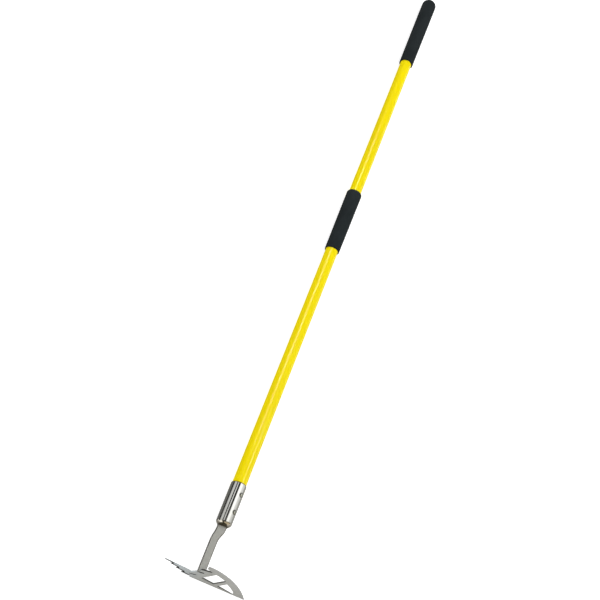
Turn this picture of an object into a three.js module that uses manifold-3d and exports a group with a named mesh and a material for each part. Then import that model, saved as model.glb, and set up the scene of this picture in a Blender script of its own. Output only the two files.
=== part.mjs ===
// A long handled weeding hoe: a yellow fibreglass tube with two foam grips, a polished steel
// socket held by two rivets, a flat steel neck, and a slotted blade with a row of saw teeth.
// Millimetres, +Z up. The hoe lies as it rests on the ground: the cutting edge and the end grip
// touch the ground, the handle runs along +Y, and the blade's slotted wing points to +X.

import * as THREE from 'three';
import { mergeVertices } from 'three/addons/utils/BufferGeometryUtils.js';
import Module from 'manifold-3d';

const wasm = await Module();
wasm.setup();

// Sizes of the whole hoe
const fitGap = 0.3;
const overrun = 2;
const handleLength = 1364;
const tubeDiameter = 25.4;
const tubeWall = 3.2;

// Socket and rivets
const socketLength = 77.5;
const socketWall = 1.2;
const socketEndWall = 3;
const socketCornerRadius = 7;
const socketRimBreak = 0.4;
const dowelLength = 90;
const lowerRivetHeight = 26.4;
const upperRivetHeight = 58.9;
const rivetShankRadius = 2;
const rivetHeadRadius = 3.1;
const rivetHeadRise = 1.3;
const rivetTurn = THREE.MathUtils.degToRad(40);

// Grips and the plug in the tube's top end
const endGripLength = 216;
const endGripRimRadius = 15.5;
const endGripTopRadius = 16.5;
const endGripDomeRise = 15;
const gripCapThickness = 8;
const gripEndRounding = 1.6;
const midGripStart = 601;
const midGripLength = 152.5;
const midGripLowerRadius = 15;
const midGripUpperRadius = 16;
const midGripShoulder = 3;
const topPlugLength = 22;
const topPlugFlange = 2;

// Neck plate
const neckThickness = 5;
const neckEdgeBreak = 1.8;
const neckReach = 87;
const neckTang = 6;
const neckTopWidth = 16.9;
const neckTopShift = -0.45;
const neckWidth = 13.9;
const neckShift = -5.1;
const neckShoulderDrop = 1.5;
const neckCurveLength = 31;
const socketWeldRadius = 1;
const bladeWeldRadius = 2;

// Blade plate, drawn in its own plane: x along the cutting edge, y from that edge to the back.
// Its outline grows with the radius of the round wing, so its points are shares of that radius.
const bladeThickness = 2.6;
const bladeAngle = THREE.MathUtils.degToRad(70);
const bladeShift = -1.3;
const edgeLand = 0.5;
const grindWidth = 6;
const arcRadius = 86.1;
const arcCentreShares = [0.0639, -0.4472];
const neckHeightShare = 0.2567;
const cuttingEdgeLeftShare = -0.2033;
const hookRootShare = 0.1045;
const hookTipShares = [0.0372, 0.4739];
const hookRounding = 1.2;
const hookUnderShares = [0.0534, 0.4518];
const notchEndShares = [0.1394, 0.4135];
const notchRadius = 0.9;
const tongueCornerShares = [-0.072, 0.3508];
const bumpTopShares = [-0.1394, 0.2334];
const bumpSideShares = [-0.1684, 0.2033];
const backDipShares = [-0.2207, 0.158];
const backRightShares = [-0.2625, 0.2114];
const backLeftShares = [-0.7317, 0.2509];
const toothCount = 3;
const firstTipShares = [-0.7816, 0.1916];
const toothPitchShares = [0.1301, -0.0592];
const toothGulletShares = [0.0581, 0.0325];
const toothGrindWidth = 5;
const toothGrindDepth = 1.6;
const weldSlotStartShares = [-0.1266, 0.2544];
const weldSlotEndShares = [0.0035, 0.2822];
const weldSlotRadius = 1.3;
const reliefStartShares = [-0.2381, 0.1045];
const reliefEndShares = [-0.108, 0.1347];
const reliefStartRadius = 0.5;
const reliefEndRadius = 1.4;

// The two holes in the slotted wing stand on one line and lie under the arc
const holeFloorShare = 0.1127;
const holeFloorSlope = THREE.MathUtils.degToRad(-7.7);
const strutSlope = THREE.MathUtils.degToRad(51);
const strutWidth = 5.8;
const firstHoleLeftShare = 0.0139;
const firstHoleWidthShare = 0.2636;
const firstBandShare = 0.1394;
const secondBandShare = 0.1707;
const secondHoleRightShare = 0.7062;

// Fineness of the round surfaces
const roundSides = 48;
const smallSides = 20;
const beadSides = 10;
const cornerSteps = 6;
const arcSteps = 28;

// Sizes that follow from the ones above
const tubeRadius = tubeDiameter / 2;
const tubeBore = tubeRadius - tubeWall;
const socketBore = tubeRadius + fitGap;
const socketRadius = socketBore + socketWall;
const gripBore = tubeRadius + fitGap;
const tubeStart = socketEndWall + neckTang + fitGap;
const grindDepth = bladeThickness - edgeLand;
const tubeEnd = handleLength - gripCapThickness - topPlugFlange - 2 * fitGap;

// A point of the blade's outline from its two shares of the round wing's radius
function onPlan([across, up]) {
  return new THREE.Vector2(across, up).multiplyScalar(arcRadius);
}

const arcCentre = onPlan(arcCentreShares);
const neckHeightOnBlade = neckHeightShare * arcRadius;
const cuttingEdgeLeft = cuttingEdgeLeftShare * arcRadius;
const hookRootX = hookRootShare * arcRadius;
const hookTip = onPlan(hookTipShares);
const tongueCorner = onPlan(tongueCornerShares);
const backRight = onPlan(backRightShares);
const backLeft = onPlan(backLeftShares);
const firstTip = onPlan(firstTipShares);
const toothPitch = onPlan(toothPitchShares);
const toothGullet = onPlan(toothGulletShares);
const weldSlotStart = onPlan(weldSlotStartShares);
const weldSlotEnd = onPlan(weldSlotEndShares);
const reliefStart = onPlan(reliefStartShares);
const reliefEnd = onPlan(reliefEndShares);
const firstHoleLeft = firstHoleLeftShare * arcRadius;

// A closed geometry becomes a solid for cutting and joining
function solidOf(geometry) {
  const bare = geometry.clone();
  bare.deleteAttribute('normal');
  bare.deleteAttribute('uv');
  const merged = mergeVertices(bare);
  return new wasm.Manifold(new wasm.Mesh({
    numProp: 3,
    vertProperties: Float32Array.from(merged.attributes.position.array),
    triVerts: Uint32Array.from(merged.index.array),
  }));
}

// A solid becomes a geometry again
function geometryOf(solid) {
  const mesh = solid.getMesh();
  const geometry = new THREE.BufferGeometry();
  geometry.setAttribute('position', new THREE.BufferAttribute(mesh.vertProperties, 3));
  geometry.setIndex(new THREE.BufferAttribute(mesh.triVerts, 1));
  return geometry;
}

function finish(color, roughness, metalness) {
  return new THREE.MeshStandardMaterial({ color, roughness, metalness });
}

const yellowGloss = finish(0xf0dd0a, 0.32, 0);
const blackFoam = finish(0x26292b, 0.85, 0);
const polishedSteel = finish(0xd4d6d6, 0.16, 1);
const satinSteel = finish(0xa6a7a1, 0.42, 1);
const paleWood = finish(0xc9a873, 0.75, 0);
const blackPlastic = finish(0x222222, 0.6, 0);

const hoe = new THREE.Group();

function addPiece(name, solid, material) {
  const piece = new THREE.Mesh(geometryOf(solid), material);
  piece.name = name;
  hoe.add(piece);
}

// A turned solid: pairs of radius and distance along the handle's axis
function turned(points, sides = roundSides) {
  const profile = points.map(([radius, along]) => new THREE.Vector2(radius, along));
  return solidOf(new THREE.LatheGeometry(profile, sides));
}

// Points of a rounded corner from one angle to another
function corner(centreRadius, centreAlong, radius, from, to) {
  const points = [];
  for (let i = 0; i <= cornerSteps; i += 1) {
    const angle = from + ((to - from) * i) / cornerSteps;
    points.push([
      centreRadius + radius * Math.cos(angle),
      centreAlong + radius * Math.sin(angle),
    ]);
  }
  return points;
}

// A round bar across the handle, in the direction that the rivets take
function crossBar(radius, length, height) {
  const bar = new THREE.CylinderGeometry(radius, radius, length, smallSides);
  bar.rotateX(Math.PI / 2);
  bar.rotateY(rivetTurn);
  bar.translate(0, height, 0);
  return solidOf(bar);
}

const rivetHeights = [lowerRivetHeight, upperRivetHeight];
const rivetHoleRadius = rivetShankRadius + fitGap;
const acrossSocket = 2 * (socketRadius + overrun);

function drilled(solid) {
  return rivetHeights.reduce(
    (rest, height) => rest.subtract(crossBar(rivetHoleRadius, acrossSocket, height)),
    solid,
  );
}

// The flat outline of the neck, from its tang in the socket to past the blade
function neckOutline(grow) {
  const topHalf = neckTopWidth / 2 + grow;
  const lowHalf = neckWidth / 2 + grow;
  const curveEnd = -neckShoulderDrop - neckCurveLength;
  const bend = neckCurveLength / 2;
  const outline = new THREE.Shape();
  outline.moveTo(neckTopShift + topHalf, socketEndWall + neckTang + grow);
  outline.lineTo(neckTopShift - topHalf, socketEndWall + neckTang + grow);
  outline.lineTo(neckTopShift - topHalf, -neckShoulderDrop);
  outline.bezierCurveTo(
    neckTopShift - topHalf, -neckShoulderDrop - bend,
    neckShift - lowHalf, curveEnd + bend,
    neckShift - lowHalf, curveEnd,
  );
  outline.lineTo(neckShift - lowHalf, -neckReach - overrun);
  outline.lineTo(neckShift + lowHalf, -neckReach - overrun);
  outline.lineTo(neckShift + lowHalf, curveEnd);
  outline.bezierCurveTo(
    neckShift + lowHalf, curveEnd + bend,
    neckTopShift + topHalf, -neckShoulderDrop - bend,
    neckTopShift + topHalf, -neckShoulderDrop,
  );
  return outline;
}

// The neck as a plate of that outline, grown on every side by a gap where it cuts a neighbour
function neckPlate(grow) {
  const plate = new THREE.ExtrudeGeometry(neckOutline(grow), {
    depth: neckThickness + 2 * grow - 2 * neckEdgeBreak,
    bevelEnabled: true,
    bevelThickness: neckEdgeBreak,
    bevelSize: neckEdgeBreak,
    bevelOffset: -neckEdgeBreak,
    bevelSegments: 3,
    curveSegments: 12,
  });
  plate.translate(0, 0, neckEdgeBreak - neckThickness / 2 - grow);
  return solidOf(plate);
}

// Moves a geometry from the blade's own plane to its place below the neck
const bladePlace = new THREE.Matrix4().makeRotationX(bladeAngle).setPosition(
  bladeShift,
  -neckReach - neckHeightOnBlade * Math.cos(bladeAngle),
  -neckHeightOnBlade * Math.sin(bladeAngle),
);

function onBlade(geometry) {
  return solidOf(geometry.applyMatrix4(bladePlace));
}

// Everything in front of the blade's inner face, with the gap that its neighbours keep
function bladeSide() {
  const reach = 2 * arcRadius;
  const block = new THREE.BoxGeometry(2 * reach, 2 * reach, reach);
  block.translate(0, 0, reach / 2 - bladeThickness - fitGap);
  return onBlade(block);
}

// Socket: a steel tube whose lower end is closed by a rounded floor, slotted for the neck
{
  const innerCorner = socketCornerRadius - socketWall;
  const outer = corner(
    socketRadius - socketCornerRadius, socketCornerRadius, socketCornerRadius, -Math.PI / 2, 0,
  );
  const inner = corner(
    socketBore - innerCorner, socketEndWall + innerCorner, innerCorner, 0, -Math.PI / 2,
  );
  const socket = turned([
    [0, 0],
    ...outer,
    [socketRadius, socketLength - socketRimBreak],
    [socketRadius - socketRimBreak, socketLength],
    [socketBore, socketLength],
    ...inner,
    [0, socketEndWall],
  ]);
  addPiece('socket', drilled(socket).subtract(neckPlate(fitGap)), polishedSteel);
}

// Handle tube, open at both ends, with the dowel that backs it up where the rivets pass
{
  const tube = turned([
    [tubeBore, tubeStart],
    [tubeRadius, tubeStart],
    [tubeRadius, tubeEnd],
    [tubeBore, tubeEnd],
    [tubeBore, tubeStart],
  ]);
  addPiece('handle_tube', drilled(tube), yellowGloss);

  const dowelRadius = tubeBore - fitGap;
  const dowel = turned([
    [0, tubeStart],
    [dowelRadius, tubeStart],
    [dowelRadius, tubeStart + dowelLength],
    [0, tubeStart + dowelLength],
  ]);
  addPiece('socket_dowel', drilled(dowel), paleWood);
}

// Rivets: a shank right through the socket, with a low dome on each side
function rivet(height) {
  const headSeat = socketBore;
  const headTop = socketRadius + fitGap + rivetHeadRise;
  const shank = crossBar(rivetShankRadius, 2 * headSeat + 2 * socketWall, height);
  const around = turned([
    [0, -overrun],
    [socketRadius + fitGap, -overrun],
    [socketRadius + fitGap, socketLength + overrun],
    [0, socketLength + overrun],
  ]);
  const dome = new THREE.SphereGeometry(rivetHeadRadius, smallSides, smallSides / 2);
  dome.scale(1, 1, (headTop - headSeat) / rivetHeadRadius);
  dome.translate(0, 0, headSeat);
  const front = dome.clone().rotateY(rivetTurn).translate(0, height, 0);
  const back = dome.clone().rotateY(rivetTurn + Math.PI).translate(0, height, 0);
  const heads = solidOf(front).add(solidOf(back)).subtract(around);
  const neck = crossBar(rivetShankRadius, 2 * headTop - rivetHeadRise, height);
  return heads.add(shank).add(neck);
}

addPiece('lower_rivet', rivet(lowerRivetHeight), polishedSteel);
addPiece('upper_rivet', rivet(upperRivetHeight), polishedSteel);

// Middle grip: a foam sleeve, a little thicker at its upper end
{
  const top = midGripStart + midGripLength;
  addPiece('mid_grip', turned([
    [gripBore, midGripStart],
    [midGripLowerRadius - gripEndRounding, midGripStart],
    [midGripLowerRadius, midGripStart + gripEndRounding],
    [midGripUpperRadius, top - midGripShoulder],
    [midGripUpperRadius - midGripShoulder / 2, top - midGripShoulder / 6],
    [midGripUpperRadius - midGripShoulder / 2 - fitGap, top],
    [gripBore, top],
    [gripBore, midGripStart],
  ]), blackFoam);
}

// End grip: a foam sleeve closed by a dome over the tube's top end
{
  const rim = handleLength - endGripLength;
  const domeStart = handleLength - endGripDomeRise;
  const dome = [];
  for (let i = 0; i < cornerSteps; i += 1) {
    const angle = (Math.PI / 2) * (i / cornerSteps);
    dome.push([
      endGripTopRadius * Math.cos(angle),
      domeStart + endGripDomeRise * Math.sin(angle),
    ]);
  }
  const boreEnd = handleLength - gripCapThickness;
  addPiece('end_grip', turned([
    [gripBore, rim],
    [endGripRimRadius - gripEndRounding, rim],
    [endGripRimRadius, rim + gripEndRounding],
    ...dome,
    [0, handleLength],
    [0, boreEnd],
    [gripBore, boreEnd],
    [gripBore, rim],
  ]), blackFoam);

  const plugStart = tubeEnd - topPlugLength;
  const flangeStart = tubeEnd + fitGap;
  const plugRadius = tubeBore - fitGap;
  addPiece('tube_top_plug', turned([
    [0, plugStart],
    [plugRadius, plugStart],
    [plugRadius, flangeStart],
    [tubeRadius, flangeStart],
    [tubeRadius, flangeStart + topPlugFlange - fitGap],
    [0, flangeStart + topPlugFlange - fitGap],
  ]), blackPlastic);
}

// The open end of the blade's slot, left of the tongue, where the neck may pass the blade
function slotMouth() {
  const mouth = new THREE.BoxGeometry(neckWidth, neckWidth, bladeThickness + overrun);
  mouth.translate(
    tongueCorner.x - fitGap - neckWidth / 2,
    weldSlotStart.y + fitGap + neckWidth / 2,
    -(bladeThickness + overrun) / 2,
  );
  return onBlade(mouth);
}

// Neck: a plate with eased edges, let into the socket's floor and cut off at the blade, save
// for a heel that goes on through the slot's mouth and ends level with the blade's outer face
{
  const plate = neckPlate(0);
  const heel = plate.intersect(slotMouth());
  addPiece('neck', plate.subtract(bladeSide()).add(heel), satinSteel);
}

// A bead of weld round the neck: a round bar along each side and a ball at each corner
function weldBead(width, shift, radius, along) {
  const halfWidth = width / 2;
  const halfThickness = neckThickness / 2;
  const corners = [
    new THREE.Vector3(shift + halfWidth, along, halfThickness),
    new THREE.Vector3(shift - halfWidth, along, halfThickness),
    new THREE.Vector3(shift - halfWidth, along, -halfThickness),
    new THREE.Vector3(shift + halfWidth, along, -halfThickness),
  ];
  const pieces = corners.map((start, i) => {
    const end = corners[(i + 1) % corners.length];
    const way = end.clone().sub(start);
    const bar = new THREE.CylinderGeometry(radius, radius, way.length(), beadSides);
    bar.rotateX(Math.PI / 2);
    bar.rotateY(Math.atan2(way.x, way.z));
    bar.translate(start.x + way.x / 2, along, start.z + way.z / 2);
    const ball = new THREE.SphereGeometry(radius, beadSides, beadSides);
    ball.translate(start.x, along, start.z);
    return solidOf(bar).add(solidOf(ball));
  });
  const bead = pieces.reduce((sum, piece) => sum.add(piece));
  return bead.subtract(neckPlate(fitGap));
}

// Weld under the socket, on the outside of its rounded floor
{
  const above = new THREE.BoxGeometry(2 * socketRadius, socketLength, 2 * socketRadius);
  above.translate(0, socketLength / 2 - fitGap, 0);
  const bead = weldBead(neckTopWidth, neckTopShift, socketWeldRadius, 0);
  addPiece('socket_weld', bead.subtract(solidOf(above)), satinSteel);
}

// Weld between the neck's end and the blade's inner face, left off at the slot's open mouth
{
  const innerFace = -neckReach + (bladeThickness + fitGap) / Math.sin(bladeAngle);
  const bead = weldBead(neckWidth, neckShift, bladeWeldRadius, innerFace);
  const open = new THREE.BoxGeometry(2 * neckWidth, 2 * neckWidth, 2 * neckWidth);
  open.translate(bladeShift + tongueCorner.x - neckWidth, innerFace, 0);
  addPiece('blade_weld', bead.subtract(bladeSide()).subtract(solidOf(open)), satinSteel);
}

// The blade's outline, counterclockwise from the left end of its cutting edge
function bladeOutline() {
  const outline = new THREE.Shape();
  const tipAngle = Math.asin(-arcCentre.y / arcRadius);
  const hookAngle = Math.acos((hookRootX - arcCentre.x) / arcRadius);
  const hookTop = arcRadius * Math.sin(hookAngle) + arcCentre.y;
  const hookUnder = onPlan(hookUnderShares);
  const notchEnd = onPlan(notchEndShares);
  const bumpTop = onPlan(bumpTopShares);
  const bumpSide = onPlan(bumpSideShares);
  const backDip = onPlan(backDipShares);
  outline.moveTo(cuttingEdgeLeft, 0);
  outline.lineTo(arcCentre.x + arcRadius * Math.cos(tipAngle), 0);
  outline.absarc(arcCentre.x, arcCentre.y, arcRadius, tipAngle, hookAngle, false);
  outline.quadraticCurveTo(hookTip.x + hookRounding, hookTop, hookTip.x, hookTip.y);
  outline.lineTo(hookUnder.x, hookUnder.y);
  outline.absarc(notchEnd.x, notchEnd.y, notchRadius, Math.PI / 2, -Math.PI / 2, true);
  outline.lineTo(tongueCorner.x, tongueCorner.y);
  weldSlot(outline);
  [bumpTop, bumpSide, backDip, backRight, backLeft].forEach(
    (point) => outline.lineTo(point.x, point.y),
  );
  outline.quadraticCurveTo(firstTip.x, backLeft.y, firstTip.x, firstTip.y);
  for (let i = 1; i <= toothCount; i += 1) {
    const tip = toothTip(i);
    outline.lineTo(tip.x + toothGullet.x, tip.y + toothGullet.y);
    outline.lineTo(tip.x, tip.y);
  }
  return outline;
}

// The slot under the tongue, open to the left where the neck shows
function weldSlot(outline) {
  const way = weldSlotEnd.clone().sub(weldSlotStart);
  const slope = way.angle();
  const quarter = Math.PI / 2;
  const side = new THREE.Vector2(-way.y, way.x).setLength(weldSlotRadius);
  const under = weldSlotStart.clone().sub(side);
  const over = weldSlotStart.clone().add(side);
  const rise = (tongueCorner.x - over.x) * Math.tan(slope);
  outline.lineTo(tongueCorner.x, over.y + rise);
  outline.absarc(
    weldSlotEnd.x, weldSlotEnd.y, weldSlotRadius, slope + quarter, slope - quarter, true,
  );
  outline.lineTo(under.x, under.y);
}

function toothTip(index) {
  return firstTip.clone().addScaledVector(toothPitch, index);
}

// Height of the line that the two holes stand on
function holeFloor(x) {
  return holeFloorShare * arcRadius + (x - firstHoleLeft) * Math.tan(holeFloorSlope);
}

// Direction, seen from the arc's centre, of the place where a strut that rises from the
// holes' floor meets a circle round that centre
function strutTopAngle(x, radius) {
  const rise = new THREE.Vector2(Math.cos(strutSlope), Math.sin(strutSlope));
  const foot = new THREE.Vector2(x, holeFloor(x)).sub(arcCentre);
  const along = foot.dot(rise);
  const reach = Math.sqrt(along * along - foot.lengthSq() + radius * radius) - along;
  return foot.addScaledVector(rise, reach).angle();
}

// The first hole is bounded by two struts, the second by a strut and the wing's tip
function bladeHoles() {
  const firstRadius = arcRadius - firstBandShare * arcRadius;
  const secondRadius = arcRadius - secondBandShare * arcRadius;
  const firstRight = firstHoleLeft + firstHoleWidthShare * arcRadius;
  const secondLeft = firstRight + strutWidth / Math.sin(strutSlope);
  const first = new THREE.Path();
  first.moveTo(firstHoleLeft, holeFloor(firstHoleLeft));
  first.lineTo(firstRight, holeFloor(firstRight));
  first.absarc(
    arcCentre.x, arcCentre.y, firstRadius,
    strutTopAngle(firstRight, firstRadius), strutTopAngle(firstHoleLeft, firstRadius), false,
  );
  const second = new THREE.Path();
  const secondHoleRight = secondHoleRightShare * arcRadius;
  const secondEnd = Math.acos((secondHoleRight - arcCentre.x) / secondRadius);
  second.moveTo(secondLeft, holeFloor(secondLeft));
  second.lineTo(secondHoleRight, holeFloor(secondHoleRight));
  second.absarc(
    arcCentre.x, arcCentre.y, secondRadius,
    secondEnd, strutTopAngle(secondLeft, secondRadius), false,
  );
  return [first, second];
}

// The relief slot: two round ends of different radius, joined by straight sides
function reliefSlot() {
  const slope = reliefEnd.clone().sub(reliefStart).angle();
  const quarter = Math.PI / 2;
  const slot = new THREE.Path();
  slot.absarc(
    reliefStart.x, reliefStart.y, reliefStartRadius, slope + quarter, slope + 3 * quarter, false,
  );
  slot.absarc(
    reliefEnd.x, reliefEnd.y, reliefEndRadius, slope - quarter, slope + quarter, false,
  );
  return slot;
}

// A wedge that grinds one straight edge of the plate, which lies on the left of the way from
// the first point to the second. The cutter reaches past the edge.
function grindWedge(from, to, width, depth, onOuterFace, reach) {
  const slope = depth / width;
  const face = onOuterFace ? 0 : -bladeThickness;
  const side = onOuterFace ? 1 : -1;
  const wedge = new THREE.Shape([
    new THREE.Vector2(width + overrun, face + side * slope * overrun),
    new THREE.Vector2(-reach, face + side * slope * overrun),
    new THREE.Vector2(-reach, face - side * (depth + slope * reach)),
  ]);
  const way = to.clone().sub(from);
  const bar = new THREE.ExtrudeGeometry(wedge, { depth: way.length(), bevelEnabled: false });
  const along = new THREE.Vector3(way.x, way.y, 0).normalize();
  const up = new THREE.Vector3(0, 0, 1);
  const inward = new THREE.Vector3().crossVectors(up, along);
  const basis = new THREE.Matrix4().makeBasis(inward, up, along);
  basis.setPosition(from.x, from.y, 0);
  return onBlade(bar.applyMatrix4(basis));
}

// The bevel on the outer face along the long flank of one tooth
function toothGrind(tip, root) {
  return grindWedge(tip, root, toothGrindWidth, toothGrindDepth, true, fitGap);
}

// The cone that grinds the wing's round back edge on its inner face
function grindCone() {
  const slope = grindDepth / grindWidth;
  const inside = new THREE.Vector2(
    arcRadius - grindWidth - overrun, -bladeThickness - slope * overrun,
  );
  const ring = new THREE.LatheGeometry([
    inside,
    new THREE.Vector2(arcRadius + overrun, -bladeThickness - slope * overrun),
    new THREE.Vector2(arcRadius + overrun, -edgeLand + slope * overrun),
    inside,
  ], 3 * roundSides);
  ring.rotateX(Math.PI / 2);
  ring.translate(arcCentre.x, arcCentre.y, 0);
  const away = new THREE.BoxGeometry(4 * arcRadius, 4 * arcRadius, 4 * arcRadius);
  away.translate(hookTip.x - overrun - 2 * arcRadius, 0, 0);
  return onBlade(ring).subtract(onBlade(away));
}

// Blade: one plate, pierced and slotted, then ground thin along its edges
{
  const outline = bladeOutline();
  outline.holes.push(...bladeHoles(), reliefSlot());
  const plate = new THREE.ExtrudeGeometry(outline, {
    depth: bladeThickness,
    bevelEnabled: false,
    curveSegments: arcSteps,
  });
  plate.translate(0, 0, -bladeThickness);
  const edgeStart = new THREE.Vector2(cuttingEdgeLeft - overrun, 0);
  const edgeEnd = new THREE.Vector2(arcCentre.x + arcRadius, 0);
  const backWay = backLeft.clone().sub(backRight).setLength(grindWidth);
  const backStart = backRight.clone().addScaledVector(backWay, -1 / 2);
  const backEnd = backLeft.clone().add(backWay);
  let blade = onBlade(plate)
    .subtract(grindCone())
    .subtract(grindWedge(edgeStart, edgeEnd, grindWidth, grindDepth, false, overrun))
    .subtract(grindWedge(backStart, backEnd, grindWidth, grindDepth, false, overrun));
  for (let i = 0; i < toothCount; i += 1) {
    const root = toothTip(i + 1).add(toothGullet);
    blade = blade.subtract(toothGrind(toothTip(i), root));
  }
  const lastRoot = new THREE.Vector2(cuttingEdgeLeft, 0);
  blade = blade.subtract(toothGrind(toothTip(toothCount), lastRoot));
  addPiece('blade', blade, satinSteel);
}

// The hoe is tipped until the cutting edge and the end grip stand on one level
const edgeY = -neckReach - neckHeightOnBlade * Math.cos(bladeAngle);
const edgeZ = -neckHeightOnBlade * Math.sin(bladeAngle);
const gripY = handleLength - endGripDomeRise;
hoe.rotation.x = -Math.atan2(-endGripTopRadius - edgeZ, gripY - edgeY);

// The origin is under the middle of the hoe, on the ground
const whole = new THREE.Group();
whole.add(hoe);
whole.updateMatrixWorld(true);
const extent = new THREE.Box3().setFromObject(whole, true);
const middle = extent.getCenter(new THREE.Vector3());
hoe.position.set(-middle.x, -middle.y, -extent.min.z);

export default whole;
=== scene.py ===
# A long handled weeding hoe that lies on a pale studio floor, seen from above.
# Metres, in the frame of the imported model: +Y along the handle to the end grip, +Z up.

import math
import bpy
import bmesh
from mathutils import Matrix, Vector


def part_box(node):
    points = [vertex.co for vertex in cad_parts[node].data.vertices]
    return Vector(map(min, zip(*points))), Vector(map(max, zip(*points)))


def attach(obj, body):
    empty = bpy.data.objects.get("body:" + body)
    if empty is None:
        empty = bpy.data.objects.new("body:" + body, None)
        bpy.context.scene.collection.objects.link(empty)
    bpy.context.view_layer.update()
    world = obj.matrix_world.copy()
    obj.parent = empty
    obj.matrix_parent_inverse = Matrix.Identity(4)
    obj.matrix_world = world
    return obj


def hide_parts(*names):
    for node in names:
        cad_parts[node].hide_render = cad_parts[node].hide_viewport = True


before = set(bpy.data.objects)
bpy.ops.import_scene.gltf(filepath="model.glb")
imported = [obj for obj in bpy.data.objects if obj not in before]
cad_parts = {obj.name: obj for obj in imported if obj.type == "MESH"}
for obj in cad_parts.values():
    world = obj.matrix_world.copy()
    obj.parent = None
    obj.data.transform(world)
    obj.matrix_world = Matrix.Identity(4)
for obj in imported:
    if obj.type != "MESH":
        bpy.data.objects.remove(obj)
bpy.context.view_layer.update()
bpy.context.scene.view_settings.view_transform = "Standard"


# How the hoe lies. It rests on its cutting edge and on the end grip, so its long axis dips
# a little towards the grip. Pieces are modelled on a level axis along +Y, which starts at
# the socket's lower end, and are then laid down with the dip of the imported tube.
tube_radius = 0.0127
tube_start = 0.0093
tube_end = 1.3534
tube_low, tube_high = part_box("handle_tube")
tube_reach = tube_high - tube_low
dip = math.asin((tube_reach.z - 2 * tube_radius) / tube_reach.y)
lay = (
    Matrix.Translation((tube_low + tube_high) / 2)
    @ Matrix.Rotation(-dip, 4, "X")
    @ Matrix.Translation((0, -(tube_start + tube_end) / 2, 0))
)

# The camera stands over the lower half of the handle and looks down along it, turned so
# that the hoe runs from the lower left of the picture to its upper right.
camera_place = Vector((-0.17093, -0.50677, 1.65768))
camera_right = Vector((0.9064, 0.3233, 0.2719))
camera_up = Vector((-0.4152, 0.8004, 0.4323))
sensor_width = 36
focal_length = 60
picture_size = 600
half_pixel = 0.5 / picture_size

camera_data = bpy.data.cameras.new("camera")
camera = bpy.data.objects.new("camera", camera_data)
bpy.context.scene.collection.objects.link(camera)
camera_axes = Matrix((camera_right, camera_up, camera_right.cross(camera_up))).transposed()
camera.matrix_world = lay @ Matrix.Translation(camera_place) @ camera_axes.to_4x4()
camera_data.sensor_width = sensor_width
camera_data.lens = focal_length
camera_data.shift_x = -half_pixel
camera_data.shift_y = half_pixel
bpy.context.scene.camera = camera


# Socket: a polished steel tube, drawn to a rounded floor at its lower end. The floor has a
# slot that the neck goes through, and the open end takes the handle tube.
socket_radius = 0.0142
socket_length = 0.0775
socket_wall = 0.0012
socket_corner = 0.007
socket_edge_break = 0.00025
neck_slot_middle = (-0.00045, 0, 0)
neck_slot_size = (0.0175, 0.02, 0.0056)
round_sides = 128
same_place = 0.00001


def deselect():
    if bpy.context.mode != "OBJECT":
        bpy.ops.object.mode_set(mode="OBJECT")
    bpy.ops.object.select_all(action="DESELECT")


def take(piece):
    deselect()
    piece.select_set(True)
    bpy.context.view_layer.objects.active = piece


def freeze(piece):
    take(piece)
    bpy.ops.object.transform_apply(location=True, rotation=True, scale=True)


def bar_along_handle(name, radius, start, end):
    """A round bar on the handle's axis, from start to end."""
    deselect()
    bpy.ops.mesh.primitive_cylinder_add(
        vertices=round_sides,
        radius=radius,
        depth=end - start,
        location=(0, (start + end) / 2, 0),
        rotation=(-math.pi / 2, 0, 0),
    )
    piece = bpy.context.active_object
    piece.name = name
    piece.data.name = name
    freeze(piece)
    return piece


def pick(piece, kind, test):
    """Opens edit mode with only those parts selected whose middle passes the test."""
    take(piece)
    bpy.ops.object.mode_set(mode="EDIT")
    bpy.ops.mesh.select_mode(type=kind)
    bpy.ops.mesh.select_all(action="DESELECT")
    mesh = bmesh.from_edit_mesh(piece.data)
    if kind == "VERT":
        for vert in mesh.verts:
            vert.select = test(vert.co)
    elif kind == "EDGE":
        for edge in mesh.edges:
            edge.select = all(test(vert.co) for vert in edge.verts)
    else:
        for face in mesh.faces:
            face.select = test(face.calc_center_median())
    mesh.select_flush_mode()
    bmesh.update_edit_mesh(piece.data)


def apply_modifier(piece, kind, **values):
    take(piece)
    modifier = piece.modifiers.new(kind.lower(), kind)
    for key, value in values.items():
        setattr(modifier, key, value)
    bpy.ops.object.modifier_apply(modifier=modifier.name)


def ease_edges(piece, width, sharper_than):
    """Breaks every edge that is sharper than an angle."""
    apply_modifier(
        piece, "BEVEL", width=width, segments=2, limit_method="ANGLE", angle_limit=sharper_than
    )


def smooth(piece, angle):
    """Smooth shading where faces meet below the angle; large faces keep their own normals."""
    take(piece)
    bpy.ops.object.shade_smooth_by_angle(angle=angle)
    apply_modifier(piece, "WEIGHTED_NORMAL", keep_sharp=True, weight=100)


def settle(piece, material, node):
    """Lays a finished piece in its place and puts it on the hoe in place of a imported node."""
    piece.matrix_world = lay @ piece.matrix_world
    freeze(piece)
    piece.data.materials.clear()
    piece.data.materials.append(material)
    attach(piece, "root")
    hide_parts(node)
    deselect()


def new_material(name):
    material = bpy.data.materials.new(name)
    material.use_nodes = True
    nodes = material.node_tree.nodes
    nodes.clear()
    output = nodes.new("ShaderNodeOutputMaterial")
    shader = nodes.new("ShaderNodeBsdfPrincipled")
    material.node_tree.links.new(shader.outputs["BSDF"], output.inputs["Surface"])
    return material, material.node_tree, shader


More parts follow.
